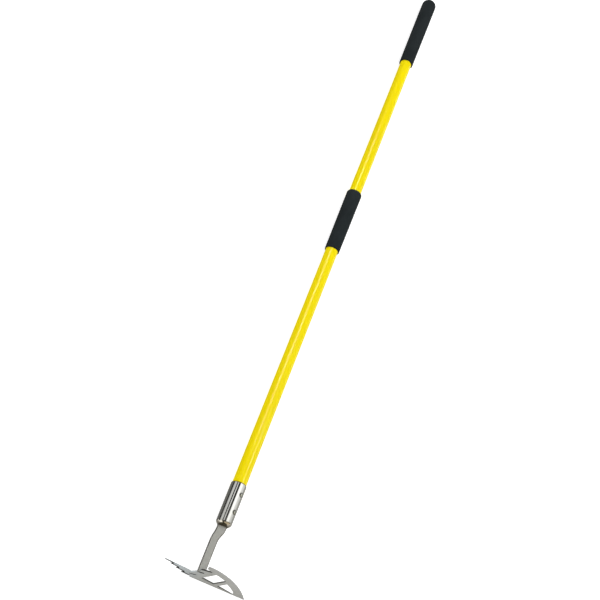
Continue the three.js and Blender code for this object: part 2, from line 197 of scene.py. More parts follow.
def sized_noise(tree, coordinates, scale, detail, roughness):
    """Noise whose grain is stretched along each axis by the scale of that axis."""
    mapping = tree.nodes.new("ShaderNodeMapping")
    mapping.inputs["Scale"].default_value = scale
    noise = tree.nodes.new("ShaderNodeTexNoise")
    noise.inputs["Scale"].default_value = 1
    noise.inputs["Detail"].default_value = detail
    noise.inputs["Roughness"].default_value = roughness
    tree.links.new(coordinates, mapping.inputs["Vector"])
    tree.links.new(mapping.outputs["Vector"], noise.inputs["Vector"])
    return noise.outputs["Fac"]


def spread(tree, value, low, high, to_low, to_high):
    """Maps the stretch of a value from low to high onto another stretch."""
    node = tree.nodes.new("ShaderNodeMapRange")
    node.inputs["From Min"].default_value = low
    node.inputs["From Max"].default_value = high
    node.inputs["To Min"].default_value = to_low
    node.inputs["To Max"].default_value = to_high
    tree.links.new(value, node.inputs["Value"])
    return node.outputs["Result"]


def mixed(tree, factor, first, second):
    """Blends two colours; each is a colour or the output of a node."""
    factor_input, first_input, second_input, colour_output = 0, 6, 7, 2
    node = tree.nodes.new("ShaderNodeMix")
    node.data_type = "RGBA"
    for index, value in ((factor_input, factor), (first_input, first), (second_input, second)):
        if isinstance(value, bpy.types.NodeSocket):
            tree.links.new(value, node.inputs[index])
        else:
            node.inputs[index].default_value = value
    return node.outputs[colour_output]


def sum_of(tree, first, second, operation="ADD"):
    """Two values joined by a sum or by another operation of the math node."""
    node = tree.nodes.new("ShaderNodeMath")
    node.operation = operation
    for index, value in enumerate((first, second)):
        if isinstance(value, bpy.types.NodeSocket):
            tree.links.new(value, node.inputs[index])
        else:
            node.inputs[index].default_value = value
    return node.outputs[0]


def bumped(tree, height, distance):
    node = tree.nodes.new("ShaderNodeBump")
    node.inputs["Distance"].default_value = distance
    node.inputs["Strength"].default_value = 1
    tree.links.new(height, node.inputs["Height"])
    return node.outputs["Normal"]


def screen_colour(red, green, blue):
    """A colour as a screen shows it, 0 to 255, as the light values that a shader takes."""
    full = 255

    def light(value):
        """The standard curve of screens: a straight foot, then a power."""
        share = value / full
        return share / 12.92 if share <= 0.04045 else ((share + 0.055) / 1.055) ** 2.4

    return (light(red), light(green), light(blue), 1)


def effect_group(name, inputs, outputs):
    """An empty node group for an effect that several materials use."""
    group = bpy.data.node_groups.new(name, "ShaderNodeTree")
    for label, value in inputs:
        item = group.interface.new_socket(
            name=label, in_out="INPUT", socket_type="NodeSocketFloat"
        )
        item.default_value = value
    for label in outputs:
        group.interface.new_socket(
            name=label, in_out="OUTPUT", socket_type="NodeSocketFloat"
        )
    return group, group.nodes.new("NodeGroupInput"), group.nodes.new("NodeGroupOutput")


def object_place(tree):
    return tree.nodes.new("ShaderNodeTexCoord").outputs["Object"]


def use_effect(tree, group, **values):
    node = tree.nodes.new("ShaderNodeGroup")
    node.node_tree = group
    for label, value in values.items():
        node.inputs[label.replace("_", " ")].default_value = value
    return node


# Handling marks that all the hoe's outer surfaces share: dull smudges a few centimetres
# across, and short fine scratches that run in two directions. Each kind has its grain along
# X, Y and Z, its detail, its roughness and the stretch of the noise in which it shows.
smudge_kind = ((38, 22, 38), 5, 0.62, 0.42, 0.72)
long_scratch_kind = ((1900, 60, 1900), 2, 0.5, 0.66, 0.74)
cross_scratch_kind = ((90, 1700, 700), 2, 0.5, 0.68, 0.76)

handling, marks_in, marks_out = effect_group(
    "handling_marks", [("Smudge amount", 0.5), ("Scratch amount", 0.5)], ["Smudge", "Scratch"]
)
marks_place = object_place(handling)


def mark_of(kind):
    grain, detail, roughness, shows_from, full_at = kind
    noise = sized_noise(handling, marks_place, grain, detail, roughness)
    return spread(handling, noise, shows_from, full_at, 0, 1)


smudges = mark_of(smudge_kind)
scratches = sum_of(
    handling, mark_of(long_scratch_kind), mark_of(cross_scratch_kind), "MAXIMUM"
)
for mark, label in ((smudges, "Smudge"), (scratches, "Scratch")):
    amount = marks_in.outputs[label + " amount"]
    handling.links.new(sum_of(handling, mark, amount, "MULTIPLY"), marks_out.inputs[label])

# Grime and painted shade in the corners: a dark ring round each rivet head, and a dark line
# where the tube enters the socket, each part grime and part painted shade. Both masks are
# measured from the pieces' own places.
rivet_heights = (0.0264, 0.0589)
rivet_turn = math.radians(40)
rim_dirt_and_shade_full, rim_dirt_and_shade_end = 0.0011, 0.0028

shade_and_grime, shade_and_grime_in, shade_and_grime_out = effect_group(
    "corner_shade_and_grime", [("Ring radius", 0.0033), ("Ring width", 0.0006)], ["Ring", "Line"]
)
shade_and_grime_place = object_place(shade_and_grime)


def placed_from(tree, coordinates, frame_matrix):
    """Coordinates measured from another place and turn, one output for each axis."""
    mapping = tree.nodes.new("ShaderNodeMapping")
    mapping.vector_type = "TEXTURE"
    mapping.inputs["Location"].default_value = frame_matrix.to_translation()
    mapping.inputs["Rotation"].default_value = frame_matrix.to_euler()
    axes = tree.nodes.new("ShaderNodeSeparateXYZ")
    tree.links.new(coordinates, mapping.inputs["Vector"])
    tree.links.new(mapping.outputs["Vector"], axes.inputs["Vector"])
    return axes.outputs


def away(tree, first, second):
    """The distance that two sides at a right angle span."""
    squares = sum_of(tree, sum_of(tree, first, 2, "POWER"), sum_of(tree, second, 2, "POWER"))
    return sum_of(tree, squares, 0.5, "POWER")


from_rivets = []
for height in rivet_heights:
    seat = lay @ Matrix.Translation((0, height, 0)) @ Matrix.Rotation(rivet_turn, 4, "Y")
    axes = placed_from(shade_and_grime, shade_and_grime_place, seat)
    across = sum_of(shade_and_grime, axes["X"], 0, "ABSOLUTE")
    along = sum_of(shade_and_grime, axes["Y"], 0, "ABSOLUTE")
    from_rivets.append(away(shade_and_grime, across, along))
nearest = sum_of(shade_and_grime, from_rivets[0], from_rivets[1], "MINIMUM")
off_ring = sum_of(shade_and_grime, nearest, shade_and_grime_in.outputs["Ring radius"], "SUBTRACT")
off_ring = sum_of(shade_and_grime, off_ring, 0, "ABSOLUTE")
off_ring = sum_of(shade_and_grime, off_ring, shade_and_grime_in.outputs["Ring width"], "DIVIDE")
ring = sum_of(shade_and_grime, sum_of(shade_and_grime, 1, off_ring, "SUBTRACT"), 0, "MAXIMUM")
shade_and_grime.links.new(ring, shade_and_grime_out.inputs["Ring"])
rim_axes = placed_from(shade_and_grime, shade_and_grime_place, lay @ Matrix.Translation((0, socket_length, 0)))
off_rim = sum_of(shade_and_grime, rim_axes["Y"], 0, "ABSOLUTE")
rim_dirt_and_shade = spread(shade_and_grime, off_rim, rim_dirt_and_shade_full, rim_dirt_and_shade_end, 1, 0)
shade_and_grime.links.new(rim_dirt_and_shade, shade_and_grime_out.inputs["Line"])

# The heat of the weld has left a straw tint on the socket's rounded end. Close to the weld a
# dark tint is painted, part heat tint and part painted shade under the socket. Fine rings from
# polishing run round the socket.
clean_steel = screen_colour(208, 208, 203)
smudged_steel = screen_colour(190, 189, 182)
ring_stain_and_shade = screen_colour(52, 49, 38)
ring_stain_and_shade_share = 0.85
straw_tint = screen_colour(190, 170, 132)
straw_share = 0.25
straw_full, straw_end = 0.0035, 0.0085
burn_and_shade_tint = screen_colour(74, 68, 48)
burn_and_shade_share = 0.9
burn_and_shade_full, burn_and_shade_end = 0.0064, 0.0077
tint_unevenness = 0.0008
weld_middle = Vector((-0.0005, 0, 0.006))
ring_grain = (30, 2600, 30)
wave_grain = (260, 9, 260)
tint_grain = (160, 160, 160)
usual_noise = (0.3, 0.7)
ring_roughness = (0.07, 0.13)
dulling = (0.05, 0.7)
socket_roughness = (0.07, 0.26)
wave_weight = 1.2
polish_depth = 0.000008

polished_steel, tree, shader = new_material("polished_steel")
place = object_place(tree)
marks = use_effect(tree, handling, Smudge_amount=0.5, Scratch_amount=0.5)
corners = use_effect(tree, shade_and_grime, Ring_radius=0.0036, Ring_width=0.0012)
rings = sized_noise(tree, place, ring_grain, detail=3, roughness=0.6)
long_waves = sized_noise(tree, place, wave_grain, detail=2, roughness=0.5)
steel = mixed(tree, marks.outputs["Smudge"], clean_steel, smudged_steel)
# A dark ring round each rivet head, part grime and part painted shade.
ring_stain_and_shade_here = sum_of(tree, corners.outputs["Ring"], ring_stain_and_shade_share, "MULTIPLY")
steel = mixed(tree, ring_stain_and_shade_here, steel, ring_stain_and_shade)
uneven = sized_noise(tree, place, tint_grain, detail=3, roughness=0.5)
uneven = spread(tree, uneven, *usual_noise, -tint_unevenness, tint_unevenness)
from_foot = sum_of(tree, placed_from(tree, place, lay)["Y"], uneven)
straw_here = spread(tree, from_foot, straw_full, straw_end, straw_share, 0)
steel = mixed(tree, straw_here, steel, straw_tint)
weld_axes = placed_from(tree, place, lay @ Matrix.Translation(weld_middle))
from_weld = away(tree, away(tree, weld_axes["X"], weld_axes["Z"]), weld_axes["Y"])
from_weld = sum_of(tree, from_weld, uneven)
# Painted shade with heat tint close to the weld, darkest nearest it.
burn_and_shade_here = spread(tree, from_weld, burn_and_shade_full, burn_and_shade_end, burn_and_shade_share, 0)
steel = mixed(tree, burn_and_shade_here, steel, burn_and_shade_tint)
tree.links.new(steel, shader.inputs["Base Color"])
dulled = spread(tree, rings, *usual_noise, *ring_roughness)
dulled = sum_of(tree, dulled, marks.outputs["Smudge"])
dulled = sum_of(tree, spread(tree, dulled, *dulling, *socket_roughness), ring_stain_and_shade_here)
tree.links.new(dulled, shader.inputs["Roughness"])
shader.inputs["Metallic"].default_value = 1
relief = sum_of(tree, rings, sum_of(tree, long_waves, wave_weight, "MULTIPLY"))
tree.links.new(bumped(tree, relief, polish_depth), shader.inputs["Normal"])

socket = bar_along_handle("polished_socket", socket_radius, 0, socket_length)
pick(socket, "FACE", lambda at: at.y > socket_length - socket_wall)
bpy.ops.mesh.delete(type="ONLY_FACE")
pick(socket, "EDGE", lambda at: at.y < same_place)
bpy.ops.mesh.bevel(offset=socket_corner, offset_type="OFFSET", segments=12, affect="EDGES")
apply_modifier(socket, "SOLIDIFY", thickness=socket_wall, offset=-1)
bpy.ops.mesh.primitive_cube_add(size=1, location=neck_slot_middle)
slot_cutter = bpy.context.active_object
slot_cutter.scale = neck_slot_size
freeze(slot_cutter)
apply_modifier(socket, "BOOLEAN", operation="DIFFERENCE", solver="EXACT", object=slot_cutter)
bpy.data.objects.remove(slot_cutter)
ease_edges(socket, socket_edge_break, sharper_than=0.7)
smooth(socket, angle=0.6)
settle(socket, polished_steel, "socket")


# Rivets: two steel rivets through the socket, the tube and the dowel inside. Each head is a
# low dome with a small sunk centre, drawn tight on the socket from both sides.
rivet_head_radius = 0.0031
rivet_seat = 0.0130
rivet_rise = 0.0028
rivet_centre_radius = 0.0008
rivet_centre_depth = 0.0004
rivet_edge_break = 0.00008
clean_rivet = screen_colour(204, 207, 196)
smudged_rivet = screen_colour(170, 171, 158)
rivet_stain_and_shade = screen_colour(50, 47, 38)
rivet_roughness = (0.22, 0.42)
rivet_scratch_depth = 0.00002

rivet_steel, tree, shader = new_material("rivet_steel")
marks = use_effect(tree, handling, Smudge_amount=0.5, Scratch_amount=0.6)
corners = use_effect(tree, shade_and_grime, Ring_radius=0.0033, Ring_width=0.0013)
steel = mixed(tree, marks.outputs["Smudge"], clean_rivet, smudged_rivet)
# A dark ring round the head's foot, part grime and part painted shade.
steel = mixed(tree, corners.outputs["Ring"], steel, rivet_stain_and_shade)
tree.links.new(steel, shader.inputs["Base Color"])
dulled = spread(tree, marks.outputs["Smudge"], 0, 1, *rivet_roughness)
tree.links.new(dulled, shader.inputs["Roughness"])
scratched = bumped(tree, marks.outputs["Scratch"], rivet_scratch_depth)
tree.links.new(scratched, shader.inputs["Normal"])
shader.inputs["Metallic"].default_value = 1


def rivet_head(height, side):
    """One head, modelled upright at the origin, then turned and moved to its seat."""
    deselect()
    bpy.ops.mesh.primitive_uv_sphere_add(segments=40, ring_count=24, radius=rivet_head_radius)
    head = bpy.context.active_object
    head.scale = (1, 1, rivet_rise / rivet_head_radius)
    freeze(head)
    pick(head, "VERT", lambda at: True)
    bpy.ops.mesh.bisect(
        plane_co=(0, 0, 0), plane_no=(0, 0, 1), clear_inner=True, use_fill=True
    )
    pick(
        head,
        "FACE",
        lambda at: math.hypot(at.x, at.y) < rivet_centre_radius and at.z > rivet_rise / 2,
    )
    sinking = {"value": (0, 0, -rivet_centre_depth)}
    bpy.ops.mesh.extrude_region_move(TRANSFORM_OT_translate=sinking)
    bpy.ops.object.mode_set(mode="OBJECT")
    turn = rivet_turn if side > 0 else rivet_turn + math.pi
    head.matrix_world = (
        Matrix.Translation((0, height, 0))
        @ Matrix.Rotation(turn, 4, "Y")
        @ Matrix.Translation((0, 0, rivet_seat))
    )
    freeze(head)
    return head


def rivet(name, height, node):
    front = rivet_head(height, 1)
    back = rivet_head(height, -1)
    take(front)
    back.select_set(True)
    bpy.ops.object.join()
    front.name = name
    front.data.name = name
    ease_edges(front, rivet_edge_break, sharper_than=0.8)
    smooth(front, angle=0.7)
    settle(front, rivet_steel, node)


rivet("lower_rivet_heads", rivet_heights[0], "lower_rivet")
rivet("upper_rivet_heads", rivet_heights[1], "upper_rivet")


# Handle tube: a pultruded fibreglass tube with a glossy yellow skin. The long fibres under
# the skin leave faint lines along it, and a dark brown line where it enters the socket is part
# grime and part painted shade.
tube_wall = 0.0032
tube_edge_break = 0.0004
skin_yellow = screen_colour(236, 215, 0)
fibre_yellow = screen_colour(241, 220, 2)
cloud_yellow = screen_colour(229, 205, 0)
scratch_yellow = screen_colour(246, 236, 110)
joint_dirt_and_shade_brown = screen_colour(66, 50, 10)
fibre_grain = (900, 5, 900)
fibres_show = (0.35, 0.65)
fibre_dulling = (0.24, 0.34)
cloud_grain = (30, 6, 30)
clouds_show = (0.45, 0.75)
cloud_share = 0.5
joint_dirt_and_shade_thins = (0.3, 0.6)
thinnest_joint_dirt_and_shade = 0.6
skin_dulling = (0.2, 1.0)
skin_roughness = (0.22, 0.42)
skin_scratch_weight = -1.5
skin_depth = 0.00003

yellow_skin, tree, shader = new_material("yellow_fibreglass")
place = object_place(tree)
marks = use_effect(tree, handling, Smudge_amount=0.6, Scratch_amount=0.35)
corners = use_effect(tree, shade_and_grime)
fibres = sized_noise(tree, place, fibre_grain, detail=4, roughness=0.6)
clouds = sized_noise(tree, place, cloud_grain, detail=3, roughness=0.5)
skin = mixed(tree, spread(tree, fibres, *fibres_show, 0, 1), skin_yellow, fibre_yellow)
skin = mixed(tree, spread(tree, clouds, *clouds_show, 0, cloud_share), skin, cloud_yellow)
skin = mixed(tree, marks.outputs["Scratch"], skin, scratch_yellow)
# The dark brown line at the socket's rim, part grime and part painted shade.
thinned = spread(tree, clouds, *joint_dirt_and_shade_thins, thinnest_joint_dirt_and_shade, 1)
joint_dirt_and_shade = sum_of(tree, corners.outputs["Line"], thinned, "MULTIPLY")
skin = mixed(tree, joint_dirt_and_shade, skin, joint_dirt_and_shade_brown)
tree.links.new(skin, shader.inputs["Base Color"])
dulled = spread(tree, fibres, *usual_noise, *fibre_dulling)
dulled = sum_of(tree, dulled, marks.outputs["Smudge"])
dulled = spread(tree, dulled, *skin_dulling, *skin_roughness)
tree.links.new(dulled, shader.inputs["Roughness"])
scratched = sum_of(tree, marks.outputs["Scratch"], skin_scratch_weight, "MULTIPLY")
relief = sum_of(tree, fibres, scratched)
tree.links.new(bumped(tree, relief, skin_depth), shader.inputs["Normal"])
shader.inputs["Specular IOR Level"].default_value = 0.014
shader.inputs["Coat Weight"].default_value = 0.07
shader.inputs["Coat Roughness"].default_value = 0.08

tube = bar_along_handle("yellow_tube", tube_radius, tube_start, tube_end)
pick(tube, "FACE", lambda at: math.hypot(at.x, at.z) < tube_radius / 2)
bpy.ops.mesh.delete(type="ONLY_FACE")
apply_modifier(tube, "SOLIDIFY", thickness=tube_wall, offset=-1)
ease_edges(tube, tube_edge_break, sharper_than=0.7)
smooth(tube, angle=0.6)
settle(tube, yellow_skin, "handle_tube")


# Grips: two sleeves of black closed-cell foam, pushed on while wet and held by their own
# grip. The middle one is open at both ends; the end one is closed by a domed cap.
grip_bore = 0.0130
outer_ring_beyond = 0.0142
foam_black = screen_colour(32, 37, 39)
worn_black = screen_colour(41, 46, 48)
pore_black = screen_colour(23, 27, 29)
cells_to_a_metre = 1300
pore_grain = (700, 700, 700)
pores_show = (0.55, 0.75)
pore_share = 0.6
patch_grain = (34, 14, 34)
patches_show = (0.35, 0.7)
foam_smudge = 0.7
foam_roughness = (0.9, 0.72)
foam_depth = 0.00012

foam, tree, shader = new_material("black_foam")
place = object_place(tree)
cells = tree.nodes.new("ShaderNodeTexVoronoi")
cells.inputs["Scale"].default_value = cells_to_a_metre
tree.links.new(place, cells.inputs["Vector"])
pores = sized_noise(tree, place, pore_grain, detail=3, roughness=0.6)
patches = sized_noise(tree, place, patch_grain, detail=4, roughness=0.6)
marks = use_effect(tree, handling, Smudge_amount=foam_smudge, Scratch_amount=0.3)
black = mixed(tree, spread(tree, patches, *patches_show, 0, 1), foam_black, worn_black)
black = mixed(tree, spread(tree, pores, *pores_show, 0, pore_share), black, pore_black)
tree.links.new(black, shader.inputs["Base Color"])
dulled = spread(tree, marks.outputs["Smudge"], 0, foam_smudge, *foam_roughness)
tree.links.new(dulled, shader.inputs["Roughness"])
relief = sum_of(tree, cells.outputs["Distance"], pores)
tree.links.new(bumped(tree, relief, foam_depth), shader.inputs["Normal"])
shader.inputs["Specular IOR Level"].default_value = 0.1


def ring_of(piece, along, radius_from, radius_to):
    """Draws one ring of a turned piece in or out to a new radius."""
    pick(piece, "VERT", lambda at: abs(at.y - along) < same_place)
    share = radius_to / radius_from
    bpy.ops.transform.resize(value=(share, 1, share), center_override=(0, along, 0))


def rounded_ring(piece, along, offset, segments):
    """Rounds the outer edge of a grip's end."""
    pick(
        piece,
        "EDGE",
        lambda at: abs(at.y - along) < same_place
        and math.hypot(at.x, at.z) > outer_ring_beyond,
    )
    bpy.ops.mesh.bevel(offset=offset, offset_type="OFFSET", segments=segments, affect="EDGES")


mid_start, mid_end = 0.601, 0.7535
mid_lower_radius, mid_upper_radius = 0.0150, 0.0160
mid_lower_rounding, mid_upper_rounding = 0.0016, 0.0022
mid_grip = bar_along_handle("middle_foam_grip", mid_upper_radius, mid_start, mid_end)
ring_of(mid_grip, mid_start, mid_upper_radius, mid_lower_radius)
pick(mid_grip, "FACE", lambda at: math.hypot(at.x, at.z) < tube_radius / 2)
bpy.ops.mesh.inset(thickness=mid_lower_radius - grip_bore)
bpy.ops.mesh.delete(type="FACE")
rounded_ring(mid_grip, mid_start, mid_lower_rounding, segments=5)
rounded_ring(mid_grip, mid_end, mid_upper_rounding, segments=6)
smooth(mid_grip, angle=0.9)
settle(mid_grip, foam, "mid_grip")

end_start, end_end = 1.148, 1.364
end_lower_radius, end_upper_radius = 0.0155, 0.0165
end_lower_rounding, dome_rise = 0.0016, 0.015
end_grip = bar_along_handle("end_foam_grip", end_upper_radius, end_start, end_end)
ring_of(end_grip, end_start, end_upper_radius, end_lower_radius)
pick(end_grip, "FACE", lambda at: abs(at.y - end_start) < same_place)
bpy.ops.mesh.inset(thickness=end_lower_radius - grip_bore)
bpy.ops.mesh.delete(type="FACE")
rounded_ring(end_grip, end_start, end_lower_rounding, segments=5)
rounded_ring(end_grip, end_end, dome_rise, segments=14)
smooth(end_grip, angle=0.9)
settle(end_grip, foam, "end_grip")


# Neck: a flat steel plate, cut to a waist below the socket, with its long edges eased. Its
# upper end goes through the socket's floor and its lower end meets the blade.

# The edges of neck and blade are cut where a face turns away from the plate's own direction,
# and ground where it only slants. The materials paint cut edges darker, part steel colour and
# part painted shade, and ground edges dark with painted shade.
cut_begins = (0.955, 0.985)
ground_begins = (0.7, 0.9)

cuts, cuts_in, cuts_out = effect_group(
    "cut_edges", [("Plate X", 0), ("Plate Y", 0), ("Plate Z", 1)], ["Cut", "Ground"]
)
plate_normal = cuts.nodes.new("ShaderNodeCombineXYZ")
for axis in "XYZ":
    cuts.links.new(cuts_in.outputs[f"Plate {axis}"], plate_normal.inputs[axis])
facing = cuts.nodes.new("ShaderNodeVectorMath")
facing.operation = "DOT_PRODUCT"
cuts.links.new(plate_normal.outputs["Vector"], facing.inputs[0])
cuts.links.new(cuts.nodes.new("ShaderNodeNewGeometry").outputs["True Normal"], facing.inputs[1])
on_face = sum_of(cuts, facing.outputs["Value"], 0, "ABSOLUTE")
off_face = spread(cuts, on_face, *cut_begins, 1, 0)
cuts.links.new(off_face, cuts_out.inputs["Cut"])
slanting = spread(cuts, on_face, *ground_begins, 0, 1)
cuts.links.new(sum_of(cuts, off_face, slanting, "MULTIPLY"), cuts_out.inputs["Ground"])


plate_grain = (1500, 90, 1500)
mottle_grain = (160, 160, 160)
mottle_shows = (0.35, 0.7)
reflection_cast_fades = (-0.05, 0)
upper_edge_rise = 0.116
upper_edge_begins = (0.0072, 0.0087)
lit_edge_blend = 0.001
plate_dulling = (0.36, 0.48)
plate_wear = (0.3, 1.1)
plate_roughness = (0.38, 0.58)
plate_scratch_weight = -0.8
plate_depth = 0.00003


def satin_plate(
    name, plate_direction, light_grey, mid_grey, cut_grey_and_shade, ground_shade_grey, reflection_cast, lit_edge_left_of
):
    """Satin steel with a fine grain, mottling, and duller and darker cut edges.

    The left wing takes on a bluish cast, a painted reflection. Upper edges left of a given place
    are painted light in a pale, not metallic colour; they lie above a line that rises a little
    to the left. A place beyond the plate means that it has none.
    """
    material, tree, shader = new_material(name)
    place = object_place(tree)
    marks = use_effect(tree, handling, Smudge_amount=0.6, Scratch_amount=0.6)
    grain = sized_noise(tree, place, plate_grain, detail=4, roughness=0.65)
    mottle = sized_noise(tree, place, mottle_grain, detail=5, roughness=0.6)
    steel = mixed(tree, spread(tree, mottle, *mottle_shows, 0, 1), light_grey, mid_grey)
    axes = tree.nodes.new("ShaderNodeSeparateXYZ")
    tree.links.new(place, axes.inputs["Vector"])
    across, height = axes.outputs["X"], axes.outputs["Z"]
    # The left wing takes on a bluish cast, a painted reflection.
    steel = mixed(tree, spread(tree, across, *reflection_cast_fades, 1, 0), steel, reflection_cast)
    steel = mixed(tree, marks.outputs["Scratch"], steel, clean_steel)
    cut_edge = use_effect(
        tree, cuts, Plate_X=plate_direction.x, Plate_Y=plate_direction.y, Plate_Z=plate_direction.z
    )
    # Painted light: upper edges left of a given place get a pale, not metallic colour.
    over_line = sum_of(tree, height, sum_of(tree, across, upper_edge_rise, "MULTIPLY"))
    is_top = spread(tree, over_line, *upper_edge_begins, 0, 1)
    is_left = spread(tree, across, lit_edge_left_of - lit_edge_blend, lit_edge_left_of, 1, 0)
    lit_left_top = sum_of(tree, is_top, is_left, "MULTIPLY")
    edge_shade_and_light = mixed(tree, lit_left_top, cut_grey_and_shade, reflection_cast)
    lit_dull_edge = sum_of(tree, lit_left_top, cut_edge.outputs["Cut"], "MULTIPLY")
    # Cut edges darker, part steel colour and part painted shade; ground edges dark with painted
    # shade.
    steel = mixed(tree, cut_edge.outputs["Cut"], steel, edge_shade_and_light)
    steel = mixed(tree, cut_edge.outputs["Ground"], steel, ground_shade_grey)
    tree.links.new(steel, shader.inputs["Base Color"])
    dulled = spread(tree, grain, *usual_noise, *plate_dulling)
    dulled = sum_of(tree, dulled, marks.outputs["Smudge"])
    dulled = spread(tree, dulled, *plate_wear, *plate_roughness)
    tree.links.new(dulled, shader.inputs["Roughness"])
    tree.links.new(sum_of(tree, 1, lit_dull_edge, "SUBTRACT"), shader.inputs["Metallic"])
    scratched = sum_of(tree, marks.outputs["Scratch"], plate_scratch_weight, "MULTIPLY")
    relief = sum_of(tree, grain, scratched)
    tree.links.new(bumped(tree, relief, plate_depth), shader.inputs["Normal"])
    return material


neck_steel = satin_plate(
    "neck_steel",
    lay.to_3x3() @ Vector((0, 0, 1)),
    light_grey=screen_colour(222, 222, 215),
    mid_grey=screen_colour(213, 213, 206),
    cut_grey_and_shade=screen_colour(140, 139, 132),
    ground_shade_grey=screen_colour(140, 139, 132),
    reflection_cast=screen_colour(220, 221, 215),
    lit_edge_left_of=-1,
)


one_corner_within = 0.000001
flat_below = math.radians(0.5)


def merged_copy(node, name, material, smooth_below):
    """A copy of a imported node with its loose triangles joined, for a smoother finish."""
    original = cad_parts[node]
    copy = bpy.data.objects.new(name, original.data.copy())
    copy.data.name = name
    bpy.context.scene.collection.objects.link(copy)
    pick(copy, "VERT", lambda at: True)
    bpy.ops.mesh.remove_doubles(threshold=one_corner_within)
    bpy.ops.mesh.dissolve_limited(angle_limit=flat_below)
    smooth(copy, smooth_below)
    deselect()
    copy.data.materials.clear()
    copy.data.materials.append(material)
    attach(copy, "root")
    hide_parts(node)


merged_copy("neck", "neck_plate", neck_steel, smooth_below=0.3)


# Welds: two beads of weld metal, one under the socket and one behind the blade, laid round
# the neck and left as they cooled, a little rippled and duller than the plates.
# The bead greys are dark, part the weld's own colour and part painted shade under the socket.
bead_grey_and_shade = screen_colour(116, 114, 104)
smudged_bead_and_shade = screen_colour(84, 78, 68)
bead_smudge = 0.8
bead_roughness = (0.4, 0.6)
ripples_to_a_metre = 190
ripple_depth = 0.0002

weld_metal, tree, shader = new_material("weld_metal")
place = object_place(tree)
marks = use_effect(tree, handling, Smudge_amount=bead_smudge, Scratch_amount=0.2)
ripples = tree.nodes.new("ShaderNodeTexWave")
ripples.inputs["Scale"].default_value = ripples_to_a_metre
ripples.inputs["Distortion"].default_value = 3
ripples.inputs["Detail"].default_value = 2
tree.links.new(place, ripples.inputs["Vector"])
steel = mixed(tree, marks.outputs["Smudge"], bead_grey_and_shade, smudged_bead_and_shade)
tree.links.new(steel, shader.inputs["Base Color"])
dulled = spread(tree, marks.outputs["Smudge"], 0, bead_smudge, *bead_roughness)
tree.links.new(dulled, shader.inputs["Roughness"])
shader.inputs["Metallic"].default_value = 1
tree.links.new(bumped(tree, ripples.outputs["Fac"], ripple_depth), shader.inputs["Normal"])

for node, name in (("socket_weld", "socket_weld_bead"), ("blade_weld", "blade_weld_bead")):
    merged_copy(node, name, weld_metal, smooth_below=0.9)


# Blade: one flat plate of steel, cut out with two windows in the right wing, saw teeth on
# the left wing and a hook at the top, then ground thin along its edges. Its outer face is
# turned 70 degrees down from the neck's.
blade_turn = math.radians(70)
blade_steel = satin_plate(
    "blade_steel",
    lay.to_3x3() @ Vector((0, -math.sin(blade_turn), math.cos(blade_turn))),
    light_grey=screen_colour(183, 183, 178),
    mid_grey=screen_colour(174, 174, 169),
    cut_grey_and_shade=screen_colour(112, 113, 109),
    ground_shade_grey=screen_colour(44, 45, 42),
    reflection_cast=screen_colour(194, 201, 203),
    lit_edge_left_of=-0.013,
)
merged_copy("blade", "steel_blade", blade_steel, smooth_below=0.3)


# Hidden pieces: a wooden dowel that backs the tube behind the rivets, and a plastic plug
# that closes the tube's top end under the foam cap. Both stay as packed.
def plain_material(name, grain, detail, one_tone, other_tone, roughness, depth):
    """Two tones, a roughness and a relief that all follow one noise."""
    material, tree, shader = new_material(name)
    noise = sized_noise(tree, object_place(tree), grain, detail, roughness=0.6)
    colour = mixed(tree, spread(tree, noise, *usual_noise, 0, 1), one_tone, other_tone)
    tree.links.new(colour, shader.inputs["Base Color"])
    tree.links.new(spread(tree, noise, 0, 1, *roughness), shader.inputs["Roughness"])
    tree.links.new(bumped(tree, noise, depth), shader.inputs["Normal"])
    return material


dowel_wood = plain_material(
    "dowel_wood",
    grain=(600, 20, 600),
    detail=4,
    one_tone=screen_colour(206, 174, 122),
    other_tone=screen_colour(172, 134, 84),
    roughness=(0.6, 0.8),
    depth=0.00008,
)
plug_plastic = plain_material(
    "plug_plastic",
    grain=(900, 900, 900),
    detail=3,
    one_tone=screen_colour(32, 32, 32),
    other_tone=screen_colour(42, 42, 42),
    roughness=(0.5, 0.65),
    depth=0.00005,
)
for node, material in (("socket_dowel", dowel_wood), ("tube_top_plug", plug_plastic)):
    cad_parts[node].data.materials.clear()
    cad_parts[node].data.materials.append(material)


# Studio: a white floor that keeps the hoe's soft shadow and a white surround for the camera.
# What shines sees a set of long soft panels and the dark gaps between them, hung along the
# handle's direction, and grey and black cards on the floor beside the hoe and at its foot.
floor_size = 30
floor_white = (0.8, 0.8, 0.8, 1)
glow_for_camera = 0.62
glow_for_shine = 0.1

floor_material = bpy.data.materials.new("studio_floor")
floor_material.use_nodes = True
tree = floor_material.node_tree
tree.nodes.clear()
floor_output = tree.nodes.new("ShaderNodeOutputMaterial")
floor_diffuse = tree.nodes.new("ShaderNodeBsdfDiffuse")
floor_diffuse.inputs["Color"].default_value = floor_white
floor_glow = tree.nodes.new("ShaderNodeEmission")
floor_sum = tree.nodes.new("ShaderNodeAddShader")
rays = tree.nodes.new("ShaderNodeLightPath").outputs
shine = sum_of(tree, rays["Is Glossy Ray"], rays["Is Transmission Ray"], "MAXIMUM")
shine = sum_of(tree, shine, glow_for_shine, "MULTIPLY")
glow = sum_of(tree, sum_of(tree, rays["Is Camera Ray"], glow_for_camera, "MULTIPLY"), shine)
tree.links.new(glow, floor_glow.inputs["Strength"])
tree.links.new(floor_diffuse.outputs["BSDF"], floor_sum.inputs[0])
tree.links.new(floor_glow.outputs["Emission"], floor_sum.inputs[1])
tree.links.new(floor_sum.outputs["Shader"], floor_output.inputs["Surface"])
deselect()
bpy.ops.mesh.primitive_plane_add(size=floor_size, location=(0, 0, 0))
floor = bpy.context.active_object
floor.name = "floor"
floor.data.materials.append(floor_material)


